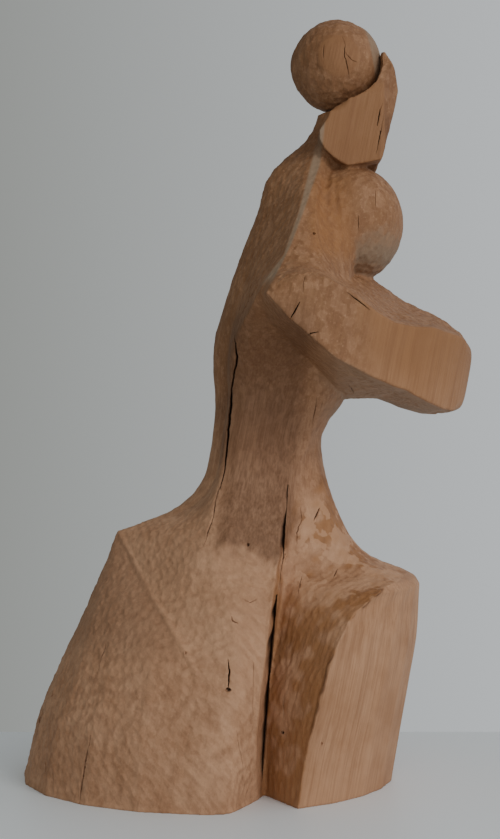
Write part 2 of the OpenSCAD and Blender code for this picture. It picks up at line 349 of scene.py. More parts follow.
class Waves:
    """Slow, seamless unevenness made of plain waves in all directions."""

    def __init__(self, seed: int, length: float, count: int = 14) -> None:
        """Draws the waves.

        Args:
            seed: Seed of the random numbers.
            length: Middle wave length, in metres.
            count: Number of waves.
        """
        rng = np.random.default_rng(seed)
        way = rng.normal(size=(count, 3))
        way /= np.linalg.norm(way, axis=1)[:, None]
        self.way = way * (2 * math.pi / (length * rng.uniform(0.6, 1.6, count)))[:, None]
        self.phase = rng.uniform(0, 2 * math.pi, count)

    def at(self, p: np.ndarray) -> np.ndarray:
        """Gives the waves' sum at points, mostly from -1 to 1."""
        return np.sin(p @ self.way.T + self.phase).sum(1) / math.sqrt(len(self.phase))


def kd_tree(points: np.ndarray) -> KDTree:
    """Makes a search tree of points.

    Args:
        points: The points, one to a row.

    Returns:
        The tree, which answers with a point's row.
    """
    tree = KDTree(len(points))
    for i, p in enumerate(points):
        tree.insert(p, i)
    tree.balance()
    return tree


class Relief:
    """Turns the plain CAD masses into one carved and weathered surface."""

    def __init__(self, grain: Grain, low: Vector, high: Vector) -> None:
        """Keeps the sizes.

        Args:
            grain: Sizes of the surface.
            low: Lowest corner of the CAD frame.
            high: Highest corner of the CAD frame.
        """
        self.grain = grain
        self.low, self.high = np.array(low), np.array(high)
        self.rng = np.random.default_rng(SEED)

    def remesh(self, obj: bpy.types.Object) -> None:
        """Gives an object an even mesh of small cells.

        Args:
            obj: The object.
        """
        step = obj.modifiers.new("cells", "REMESH")
        step.mode, step.voxel_size, step.adaptivity = "VOXEL", self.grain.voxel, 0.0
        apply_modifiers(obj)

    def soften(self, obj: bpy.types.Object, reach: float, sharp: Callable, merge: Callable) -> None:
        """Smooths broad surfaces and leaves creases alone.

        Args:
            obj: The object, with an even mesh.
            reach: How far the smoothing reaches, in metres.
            sharp: Gives 1 at points where a crease stays sharp.
            merge: Gives 1 at points where two masses run smoothly into each other.
        """
        mesh = obj.data
        p, n = positions(mesh), normals(mesh)
        pairs = np.empty(len(mesh.edges) * 2, np.int64)
        mesh.edges.foreach_get("vertices", pairs)
        a = np.concatenate([pairs[0::2], pairs[1::2]])
        b = np.concatenate([pairs[1::2], pairs[0::2]])
        count = np.bincount(a, minlength=len(p)).clip(1)[:, None]

        def around(v: np.ndarray) -> np.ndarray:
            """Gives the mean of each vertex's neighbours."""
            sums = [np.bincount(a, v[b, c], len(p)) for c in range(v.shape[1])]
            return np.stack(sums, 1) / count

        rounds = max(4, int((reach / self.grain.voxel) ** 2))
        mean = n
        for _ in range(max(3, rounds // 2)):
            mean = around(mean)
        bend = 1 - np.linalg.norm(mean, axis=1)
        for _ in range(3):
            bend = np.maximum(bend, around(bend[:, None])[:, 0])
        foot = ramp(0.001, 0.004, p[:, 2])
        joined = merge(p) * foot
        weight = ramp(0.05, 0.016, bend) * (1 - sharp(p)) * foot + 0.06
        weight = np.maximum(weight, joined)[:, None]
        for _ in range(rounds):
            p = p + (around(p) - p) * 0.6 * np.minimum(weight, 1)
        moving = joined[a] > 0
        a, b = a[moving], b[moving]
        for _ in range(int((MERGE_REACH / self.grain.voxel) ** 2) * 2):
            p = p + (around(p) - p) * 0.7 * joined[:, None]
        set_positions(mesh, p)

    def on_skirt(self, p: np.ndarray) -> np.ndarray:
        """Tells which points lie where the cuts run aslant, on the rear skirt."""
        return (p[:, 0] < SLANT_FRONT) & (p[:, 2] < SLANT_TOP)

    def laid(self, v: np.ndarray, aslant: np.ndarray) -> np.ndarray:
        """Turns vectors so that the long way of the cuts is up.

        Args:
            v: Vectors, one to a row.
            aslant: Which of them belong to slanting cuts.

        Returns:
            The turned vectors.
        """
        x, y, z = v.T
        turned = np.stack([x * SLANT_COS + z * SLANT_SIN, y, z * SLANT_COS - x * SLANT_SIN], 1)
        return np.where(aslant[:, None], turned, v)

    def seeds(self, p: np.ndarray) -> np.ndarray:
        """Picks the places of the gouge cuts.

        Args:
            p: The surface's vertices.

        Returns:
            Indices of the vertices in the middle of a cut.
        """
        cell = np.array([1, 1, self.grain.stretch]) * self.grain.facet
        order = self.rng.permutation(len(p))
        p = self.laid(p, self.on_skirt(p))
        keys = np.floor((p[order] + self.rng.uniform(0, 1, 3)) / cell).astype(np.int64)
        _, first = np.unique(keys, axis=0, return_index=True)
        return order[first]

    def carve(self, obj: bpy.types.Object, surface: Surface, reach: float) -> np.ndarray:
        """Cuts shallow gouge facets into a surface.

        Args:
            obj: The object.
            surface: Tells how each point is worked.
            reach: Reach of the smoothing that comes first, in metres.

        Returns:
            A random number from 0 to 1 at each vertex, the same over one facet.
        """
        self.remesh(obj)
        self.soften(obj, reach, surface.sharp, surface.merge)
        mesh = obj.data
        p, n = positions(mesh), normals(mesh)
        spots = self.seeds(p)
        squeeze = np.array([1, 1, 1 / self.grain.stretch])
        aslant = self.on_skirt(p)
        # Ten metres apart, so that no upright cut is taken for a slanting one's neighbour.
        laid = (self.laid(p, aslant) + 10 * aslant[:, None]) * squeeze
        tree = kd_tree(laid[spots])
        depth = self.grain.depth * self.rng.uniform(0.35, 1.25, len(spots))
        found = np.array([[hit[1] for hit in tree.find_n(q, 3)] for q in laid])
        cut = np.zeros(len(p))
        for k in range(3):
            s = found[:, k]
            gap = p - p[spots[s]]
            gap -= n[spots[s]] * (gap * n[spots[s]]).sum(1)[:, None]
            gap = self.laid(gap, aslant[spots[s]]) * squeeze
            far = (gap ** 2).sum(1) / (0.72 * self.grain.facet) ** 2
            cut = np.minimum(cut, depth[s] * (far - 1))
        slow = Waves(SEED + 1, 0.05).at(p) * 0.5 + 0.5
        share = surface.force(p, n)
        flat = ramp(0.0004, 0.003, p[:, 2]) * surface.free(p)
        move = (cut * share - self.grain.waver * slow * (0.12 + 0.88 * share)) * flat
        p = p + n * move[:, None]
        foot = (p[:, 2] < 0.55 * self.grain.voxel) & (n[:, 2] < 0.3)
        p[foot, 2] = 0
        set_positions(mesh, np.clip(p, self.low, self.high))
        return self.rng.uniform(0, 1, len(spots))[found[:, 0]]

    def blade(self, skin: BVHTree, crack: Crack, side: float) -> bpy.types.Object:
        """Makes the wedge that cuts a crack.

        Args:
            skin: The surface to cut.
            crack: The crack.
            side: 1 as listed, -1 for her other side.

        Returns:
            The wedge as a closed object.
        """
        corners = np.array(crack.path, float) * (MM, side * MM, MM)
        gaps = np.linalg.norm(np.diff(corners, axis=0), axis=1)
        run = np.concatenate([[0], np.cumsum(gaps)])
        steps = max(6, int(run[-1] / (2.2 * MM)))
        where = np.linspace(0, run[-1], steps + 1)
        line = np.stack([np.interp(where, run, corners[:, c]) for c in range(3)], 1)
        stray = Waves(SEED + int(run[-1] * 1e5), 0.022, 6).at(line)
        rough = self.rng.normal(size=steps + 1) * 0.25
        bm = bmesh.new()
        rings = []
        for k, spot in enumerate(line):
            found = skin.find_nearest(Vector(spot))
            place, out = Vector(spot) if crack.placed else found[0], found[1]
            if crack.inward:
                out = -Vector((crack.inward[0], crack.inward[1] * side, crack.inward[2]))
                out.normalize()
            way = Vector(line[min(k + 1, steps)] - line[max(k - 1, 0)]).normalized()
            across = way.cross(out).normalized()
            place += across * (stray[k] + rough[k]) * crack.wander * MM
            share = math.sin(math.pi * min(max(k / steps, 0.02), 0.98)) ** 0.6
            share = crack.blunt + (1 - crack.blunt) * share
            half = across * crack.width * 0.36 * MM * share * (1 + 0.35 * stray[k])
            deep = out * crack.depth * MM * share
            lift = out * 1.2 * MM
            rings.append([bm.verts.new(v) for v in (place + lift - half * 1.2,
                                                    place + lift + half * 1.2,
                                                    place - deep * 0.6 + half * 0.6,
                                                    place - deep,
                                                    place - deep * 0.6 - half * 0.6)])
        for first, second in zip(rings, rings[1:]):
            for i in range(5):
                j = (i + 1) % 5
                bm.faces.new((first[i], first[j], second[j], second[i]))
        bm.faces.new(reversed(rings[0]))
        bm.faces.new(rings[-1])
        bmesh.ops.triangulate(bm, faces=bm.faces)
        return solid_object("crack", bm)

    def pit(self, skin: BVHTree, pit: Pit) -> bpy.types.Object:
        """Makes the small round cutter for a pit.

        Args:
            skin: The surface to cut.
            pit: The pit.

        Returns:
            The cutter as a closed object.
        """
        place = skin.find_nearest(Vector(pit.at) * MM)[0]
        bm = bmesh.new()
        bmesh.ops.create_icosphere(bm, subdivisions=2, radius=1)
        for v in bm.verts:
            v.co *= 1 + 0.18 * math.sin(7 * v.co.x + 5 * v.co.y + 9 * v.co.z)
        bmesh.ops.scale(bm, verts=bm.verts, vec=Vector(pit.size) * MM)
        bmesh.ops.translate(bm, verts=bm.verts, vec=place)
        return solid_object("pit", bm)

    def open_cracks(self, obj: bpy.types.Object, cracks: Sequence[Crack],
                    pits: Sequence[Pit]) -> None:
        """Cuts the cracks and the pits into an object.

        Args:
            obj: The object.
            cracks: Its cracks, at least one.
            pits: Its pits.
        """
        bm = bmesh.new()
        bm.from_mesh(obj.data)
        skin = BVHTree.FromBMesh(bm)
        bm.free()
        cutters = [self.blade(skin, c, side) for c in cracks
                   for side in ((1, -1) if c.both_sides else (1,))]
        cutters += [self.pit(skin, p) for p in pits]
        combine(cutters[0], cutters[1:], "UNION")
        combine(obj, cutters[:1], "DIFFERENCE")


# ---------------------------------------------------------------- where the surface differs

# Borders seen from the side, as rows of height and place, in millimetres: the rear one of the front
# skirt's smooth face, both of the grey strip down the back, and the slot's.
LAP = ((0, 68), (36, 73), (79, 84), (107, 92), (135, 106), (155, 131), (163, 161), (175, 190))
STRIP_REAR = ((372, 38), (378, 42), (400, 58), (436, 70), (492, 84), (516, 87))
STRIP_FRONT = ((372, 46), (375, 48), (408, 63.5), (440, 75), (480, 88), (516, 92))
SLOT = ((0, 39), (60, 43), (153, 49), (193, 57), (235, 72), (270, 86))


def along(table: Sequence[tuple[float, float]], z: np.ndarray) -> np.ndarray:
    """Reads a table of heights and places, in millimetres, at heights in metres."""
    rows = np.array(table, float) * MM
    return np.interp(z, rows[:, 0], rows[:, 1])


# Creases that stay sharp, and lines where two masses merge, seen from the side: x and z in
# millimetres. Her two sides are alike.
SHARP = (
    ((-72, 193), (-65, 183), (-47, 154), (-30, 135), (-14, 112), (-6, 98)),
    ((39, 0), (38, 40), (41, 80), (47, 120), (51, 153), (57, 193), (61, 214), (70, 245)),
    ((68, 0), (73, 36), (84, 79), (92, 107), (106, 135), (131, 155), (161, 163), (168, 153)),
    ((85, 492), (70, 436), (58, 400), (42, 378)),
    ((90, 480), (75, 440), (63, 408), (48, 375)),
    ((48, 375), (62, 350), (75, 338), (95, 323), (112, 314), (129, 307), (147, 301), (180, 288)),
    ((101, 371), (123, 356), (135, 351), (160, 350), (173, 349), (194, 345)),
    ((86, 495), (95, 482), (110, 478), (134, 481), (138, 500), (150, 535), (148, 556), (135, 575)),
)
MERGED = (
    ((50, 385), (62, 391), (74, 391), (88, 402), (100, 406)),
    ((100, 425), (118, 425), (118, 447), (104, 447), (104, 436)),
)
# The slot's upper end, smoothed away because a crack is cut there, the face block's worn rear corner
# and tip, and the front end of the joined hands.
FILLED = (((71, 246), (64.3, 221), (61, 185)),)
ROUNDED = (((96, 531), (99, 530)), ((132, 578), (136, 584)))
HANDS = (((209, 340), (210, 318), (208, 296), (200, 288)),)

# A point on the crease below the hip's corner and the direction square to it, both seen from the
# side, and the slope and place of the face block's front edge, in metres.
HIP_CREASE, HIP_ACROSS = (-0.072, 0.193), (0.821, 0.570)
FACE_FRONT, FACE_LEAN, FACE_FOOT = 0.131, 0.11, 0.488


def distance(lines: Sequence, p: np.ndarray) -> np.ndarray:
    """Gives the distance of points to lines, all seen from the side.

    Args:
        lines: Lines of points, x and z in millimetres.
        p: Points, one to a row, in metres.

    Returns:
        The distance to the nearest line, in metres and at most 1.
    """
    spot = p[:, [0, 2]]
    best = np.full(len(p), 1.0)
    for line in lines:
        ends = np.array(line, float) * MM
        for a, b in zip(ends, ends[1:]):
            t = np.clip(((spot - a) @ (b - a)) / ((b - a) @ (b - a)), 0, 1)
            best = np.minimum(best, np.linalg.norm(spot - a - t[:, None] * (b - a), axis=1))
    return best


class Surface:
    """Tells for each point of the figure how it was worked, how it has aged and where light and shade
    are painted on it.
    """

    def __init__(self, log: Log, ball: tuple[np.ndarray, float], seat: bool) -> None:
        """Keeps the log and the waves that make the borders uneven.

        Args:
            log: The log that the figure is carved from.
            ball: Middle and radius of the hair bun, in metres.
            seat: Whether points on the bun's own sphere belong to its seat and stay plain.
        """
        self.log, self.ball, self.seat = log, ball, seat
        self.slow = Waves(SEED + 5, 0.05)
        self.fast = Waves(SEED + 6, 0.011, 20)

    def free(self, p: np.ndarray) -> np.ndarray:
        """Tells where the bun and its seat meet, which stays plain.

        Args:
            p: Points, one to a row.

        Returns:
            Little or nothing there, and 1 elsewhere.
        """
        if not self.seat:
            return 1 - 0.85 * ramp(0.014, 0.024, p[:, 0] - self.ball[0][0])
        gap = np.linalg.norm(p - self.ball[0], axis=1) - self.ball[1]
        return ramp(0.0008, 0.0022, gap)

    def sharp(self, p: np.ndarray) -> np.ndarray:
        """Gives 1 where a crease stays sharp."""
        near = ramp(0.0048, 0.0024, distance(SHARP, p)) * ramp(0.008, 0.014, np.abs(p[:, 1]))
        return np.maximum(near * ramp(0.6, 0.59, p[:, 2]), 1 - self.free(p)) * float(self.seat)

    def merge(self, p: np.ndarray) -> np.ndarray:
        """Tells where two masses run smoothly into each other, or a corner is worn round.

        Args:
            p: Points, one to a row.

        Returns:
            1 there, and 0 elsewhere.
        """
        hands = 0.6 * ramp(0.012, 0.004, distance(HANDS, p))
        slot = ramp(0.0055, 0.0035, distance(FILLED, p))
        worn = ramp(0.011, 0.005, distance(ROUNDED, p)) * float(self.seat)
        shoulder = ramp(0.018, 0.008, distance(MERGED, p)) * ramp(0.03, 0.04, np.abs(p[:, 1]))
        return np.maximum.reduce([hands, slot, worn, shoulder])

    def lap(self, p: np.ndarray) -> np.ndarray:
        """Gives the distance before the border of the front skirt's smooth face."""
        low = p[:, 0] - along(LAP, p[:, 2]) - 0.0008 * self.fast.at(p)
        return np.where(p[:, 2] < 0.168, low, -0.05)

    def bark(self, p: np.ndarray, n: np.ndarray) -> np.ndarray:
        """Tells where the log's own round surface was left.

        Args:
            p: Points, one to a row.
            n: Their normals.

        Returns:
            1 there, and 0 where the wood was carved.
        """
        x, y, z = p.T
        arms = ramp(0.965, 0.985, self.log.rim(p)) * ramp(0.270, 0.282, z)
        arms = arms * ramp(0.098, 0.130, x + 0.006 * self.slow.at(p))
        skirt = ramp(-0.0006, 0.0012, self.lap(p)) * ramp(0.2, 0.55, self.log.rim(p))
        face = ramp(0.031, 0.0335, np.abs(y)) * ramp(0.476, 0.480, z)
        face = face * ramp(0.0, 0.5, np.abs(n[:, 1]))
        return np.clip(arms + skirt + face, 0, 1)

    def force(self, p: np.ndarray, n: np.ndarray) -> np.ndarray:
        """Tells how deep the gouge cuts are.

        Args:
            p: Points, one to a row.
            n: Their normals.

        Returns:
            The share of the full depth at each point.
        """
        x, _, z = p.T
        waist = ramp(0.185, 0.225, z) * ramp(0.385, 0.345, z) * ramp(0.11, 0.09, x)
        channel = ramp(-0.002, 0.004, x - along(SLOT, z)) * ramp(0.24, 0.2, z)
        bust = ramp(0.4, 0.41, z) * ramp(0.098, 0.108, x) * ramp(0.482, 0.47, z)
        share = 1 - 0.62 * waist - 0.35 * channel - 0.45 * bust
        share = np.clip(share, 0.12, 1) * (1 - 0.97 * self.bark(p, n))
        return share * ramp(0.0004, 0.003, distance(SHARP, p)) if self.seat else share

    def weathered_and_painted_light(self, p: np.ndarray, n: np.ndarray) -> np.ndarray:
        """Tells where the wood is grey: weathering on the strip down the back, painted bounce light
        on faces that look at the ground, and on the bun a band on its right edge that is partly
        weathering and partly painted light.

        Args:
            p: Points, one to a row.
            n: Their normals.

        Returns:
            The share of grey at each point.
        """
        x, _, z = p.T
        if not self.seat:
            # On the bun, a grey band along its right edge: partly weathering, partly painted light
            # that lifts the shade under the visor's lip.
            gap = p - self.ball[0]
            return ramp(-0.001, 0.001, gap[:, 0] - 0.0235 - 0.22 * (0.0176 - gap[:, 2])) * 0.8
        # Painted bounce light: lighter grey on faces under the arms and the bust that look at the
        # ground.
        bounce_under_arms = ramp(-0.25, -0.6, n[:, 2]) * ramp(0.27, 0.29, z) * ramp(0.43, 0.40, z)
        bounce_under_arms = bounce_under_arms * (1 - self.bark(p, n)) * ramp(0.075, 0.11, x)
        bounce_under_bust = ramp(-0.1, -0.45, n[:, 2]) * ramp(0.40, 0.405, z) * ramp(0.108, 0.12, x)
        bounce_under_bust = bounce_under_bust * ramp(0.47, 0.46, z)
        return np.clip(self.strip(p) * 0.95 + 0.6 * bounce_under_arms + 0.55 * bounce_under_bust, 0, 1)

    def strip(self, p: np.ndarray) -> np.ndarray:
        """Tells where the narrow grey strip runs down her back.

        Args:
            p: Points, one to a row.

        Returns:
            1 there, and 0 elsewhere.
        """
        x, y, z = p.T
        inside = ramp(-0.0008, 0.0008, x - along(STRIP_REAR, z))
        inside = inside * ramp(0.0008, -0.0008, x - along(STRIP_FRONT, z))
        inside = inside * ramp(0.374, 0.384, z) * ramp(0.518, 0.508, z)
        return inside * ramp(0.015, 0.03, np.abs(y))

    def dark(self, p: np.ndarray, n: np.ndarray) -> np.ndarray:
        """Tells where the wood is darker: brown stains, a few dark lines and bands, and painted shade
        on the bun's back, the neck, beneath the arms and on the rear skirt's back.

        Args:
            p: Points, one to a row.
            n: Their normals.

        Returns:
            Their strength at each point.
        """
        x, _, z = p.T
        if not self.seat:
            clean = 1 - self.weathered_and_painted_light(p, n)
            # Painted shade: the bun is darker towards her back, away from the light, over an even
            # base tone.
            return 0.22 + 0.2 * ramp(0.0, -0.03, x - self.ball[0][0]) * clean
        slow, fast = self.slow.at(p), self.fast.at(p)
        rim = np.exp(-((self.lap(p) + 0.0004) / 0.0011) ** 2) * ramp(-0.3, 0.9, slow + 0.6 * fast)
        rim = rim * ramp(0.166, 0.16, z)
        # The waist is darker: a brown stain, strongest at its foot, and painted shade beneath the
        # arms.
        waist = ramp(0.168, 0.198, z + 0.005 * slow + 0.003 * fast) * ramp(0.39, 0.33, z)
        waist = waist * ramp(0.0, 0.022, x + 0.004 * slow)
        waist = waist * ramp(0.078, 0.052, x - 0.1 * (z - 0.2))
        back = ramp(0.33, 0.40, z) * ramp(0.062, 0.04, x - 0.35 * (z - 0.40))
        # Painted shade: the rear skirt is darker towards her back and past the crease below the hip,
        # on the side turned from the light.
        hip = ramp(0.02, -0.09, x) * ramp(0.24, 0.19, z) * 0.16
        shade_past_crease = (x - HIP_CREASE[0]) * HIP_ACROSS[0] + (z - HIP_CREASE[1]) * HIP_ACROSS[1]
        shade_past_crease = ramp(0.001, -0.001, shade_past_crease + 0.0006 * fast)
        hip += shade_past_crease * ramp(0.09, 0.12, z) * ramp(0.2, 0.19, z) * 0.3
        dark = 0.8 * rim + (0.76 + 0.5 * ramp(0.235, 0.2, z)) * waist
        dark = dark + (0.12 * back + hip) * (1 - self.strip(p))
        # Painted shadow on the neck, under the face block's overhang.
        neck = ramp(0.525, 0.51, z) * ramp(0.478, 0.49, z) * (1 - self.bark(p, n))
        front = ramp(-0.002, 0.003, x - FACE_FRONT - FACE_LEAN * (z - FACE_FOOT))
        front = front * ramp(0.478, 0.49, z) * ramp(0.57, 0.55, z)
        return np.clip(dark + 0.4 * neck, 0, 1) + 0.3 * front

    def tone(self, p: np.ndarray, n: np.ndarray) -> np.ndarray:
        """Gives all that the wood's material needs to know of a place.

        Args:
            p: Points, one to a row.
            n: Their normals.

        Returns:
            For each point a row of carved, grey (weathering and painted bounce light), dark (stains
            and painted shade), ochre (stain, and painted light in the chest hollow) and pale patches.
        """
        x, _, z = p.T
        bark = self.bark(p, n)
        drift = self.slow.at(p) + 0.5 * self.fast.at(p) + (0.15 - z) * 7
        channel = ramp(0.0, 0.004, x - along(SLOT, z)) * (1 - bark)
        ochre = channel * ramp(0.30, 0.26, z) * ramp(-0.9, 0.3, drift)
        # Painted light: the chest hollow's up-facing slope is painted a lighter ochre.
        painted_light_hollow = ramp(0.395, 0.41, z) * ramp(0.48, 0.455, z)
        painted_light_hollow = painted_light_hollow * ramp(0.12, 0.1, x) * ramp(0.07, 0.085, x)
        ochre = ochre + 0.8 * painted_light_hollow + 0.2 * ramp(0.28, 0.30, z) * ramp(0.45, 0.42, z) * bark
        patch = channel * ramp(0.13, 0.16, z) * ramp(0.235, 0.205, z) * ramp(0.06, 0.075, x)
        return np.stack([1 - bark, self.weathered_and_painted_light(p, n), self.dark(p, n), np.clip(ochre, 0, 1),
                         patch], 1)


# ---------------------------------------------------------------- material


class Value:
    """A socket or a plain number in a node tree, with arithmetic."""

    def __init__(self, graph: Graph, link: object) -> None:
        """Keeps the socket or number.

        Args:
            graph: The graph that it belongs to.
            link: An output socket, or a number.
        """
        self.graph, self.link = graph, link

    def _math(self, how: str, *others: object) -> Value:
        """Adds a Math node."""
        return self.graph.node("ShaderNodeMath", (self, *others), operation=how)[0]

    def __add__(self, other: object) -> Value:
        """Adds."""
        return self._math("ADD", other)

    def __sub__(self, other: object) -> Value:
        """Subtracts."""
        return self._math("SUBTRACT", other)

    def __rsub__(self, other: object) -> Value:
        """Subtracts this value from a number."""
        return Value(self.graph, other)._math("SUBTRACT", self)

    def __mul__(self, other: object) -> Value:
        """Multiplies."""
        return self._math("MULTIPLY", other)

    def __truediv__(self, other: object) -> Value:
        """Divides."""
        return self._math("DIVIDE", other)

    def __pow__(self, other: object) -> Value:
        """Raises to a power."""
        return self._math("POWER", other)

    __radd__, __rmul__ = __add__, __mul__

    def sine(self) -> Value:
        """Gives the sine of an angle in radians."""
        return self._math("SINE")

    def at_least(self, other: object) -> Value:
        """Gives the larger of two values."""
        return self._math("MAXIMUM", other)

    def span(self, low: float, high: float, to_low: float = 0.0, to_high: float = 1.0) -> Value:
        """Maps a range to another one, smoothly and within its ends."""
        ports = (self, low, high, to_low, to_high)
        return self.graph.node("ShaderNodeMapRange", ports, interpolation_type="SMOOTHSTEP")[0]


class Graph:
    """The node tree of a material or of the surroundings."""

    def __init__(self, owner: bpy.types.ID, shader: str = "Principled BSDF") -> None:
        """Opens the owner's node tree.

        Args:
            owner: The material or the world.
            shader: Name of its closing shader.
        """
        owner.use_nodes = True
        self.owner, self.tree = owner, owner.node_tree
        self.shader = self.tree.nodes[shader]

    def node(self, kind: str, ports: Sequence[object] = (), **settings: object) -> list[Value]:
        """Adds a node.

        Args:
            kind: The node's type.
            ports: What goes into its first inputs, a Value, a number, a colour or None each.
            **settings: The node's own properties.

        Returns:
            Its outputs.
        """
        made = self.tree.nodes.new(kind)
        for key, value in settings.items():
            setattr(made, key, value)
        shown = [s for s in made.inputs if s.enabled]
        for socket, value in zip(shown, ports):
            self.plug(socket, value)
        return [Value(self, s) for s in made.outputs if s.enabled]

    def plug(self, socket: bpy.types.NodeSocket, value: object) -> None:
        """Links or sets an input.

        Args:
            socket: The input.
            value: A Value, a number or a colour, or None to leave it alone.
        """
        link = value.link if isinstance(value, Value) else value
        if isinstance(link, bpy.types.NodeSocket):
            self.tree.links.new(link, socket)
        elif link is not None:
            socket.default_value = link

    def mix(self, share: object, a: object, b: object) -> Value:
        """Mixes two colours.

        Args:
            share: Share of the second colour.
            a: The first colour.
            b: The second colour.

        Returns:
            The mixed colour.
        """
        made = self.tree.nodes.new("ShaderNodeMix")
        made.data_type = "RGBA"
        for index, value in ((0, share), (6, a), (7, b)):
            self.plug(made.inputs[index], value)
        return Value(self, made.outputs[2])

    def noise(self, place: Value, scale: float, detail: float = 3.0, rough: float = 0.5) -> Value:
        """Adds noise from 0 to 1."""
        return self.node("ShaderNodeTexNoise", (place, scale, detail, rough))[0]


def rgb(red: float, green: float, blue: float) -> tuple[float, float, float, float]:
    """Turns a display colour into a linear one.

    Args:
        red: Red, from 0 to 255.
        green: Green, from 0 to 255.
        blue: Blue, from 0 to 255.

    Returns:
        The linear colour, opaque.
    """
    def linear(v: float) -> float:
        """Turns one channel into a linear one."""
        c = v / 255
        return c / 12.92 if c <= 0.04045 else ((c + 0.055) / 1.055) ** 2.4
    return linear(red), linear(green), linear(blue), 1.0


@dataclass(frozen=True)
class WoodLook:
    """Colours and sizes of the wood.

    Attributes:
        pale: The palest wood.
        tan: The usual wood.
        brown: Darker fibres.
        ochre: Wood stained yellow-brown, also painted as light in the chest hollow.
        umber: Dull wood of the upper figure.
        grey: Weathered wood, also painted as bounce light on faces that look down.
        crack: Painted shade inside cracks, also mixed into the darker stains and painted shade.
        ring: Width of a year's ring, in metres.
    """

    pale: tuple = rgb(207, 161, 126)
    tan: tuple = rgb(174, 127, 92)
    brown: tuple = rgb(120, 78, 49)
    ochre: tuple = rgb(160, 108, 63)
    umber: tuple = rgb(112, 84, 57)
    grey: tuple = rgb(156, 138, 116)
    crack: tuple = rgb(56, 35, 22)
    ring: float = 0.0062


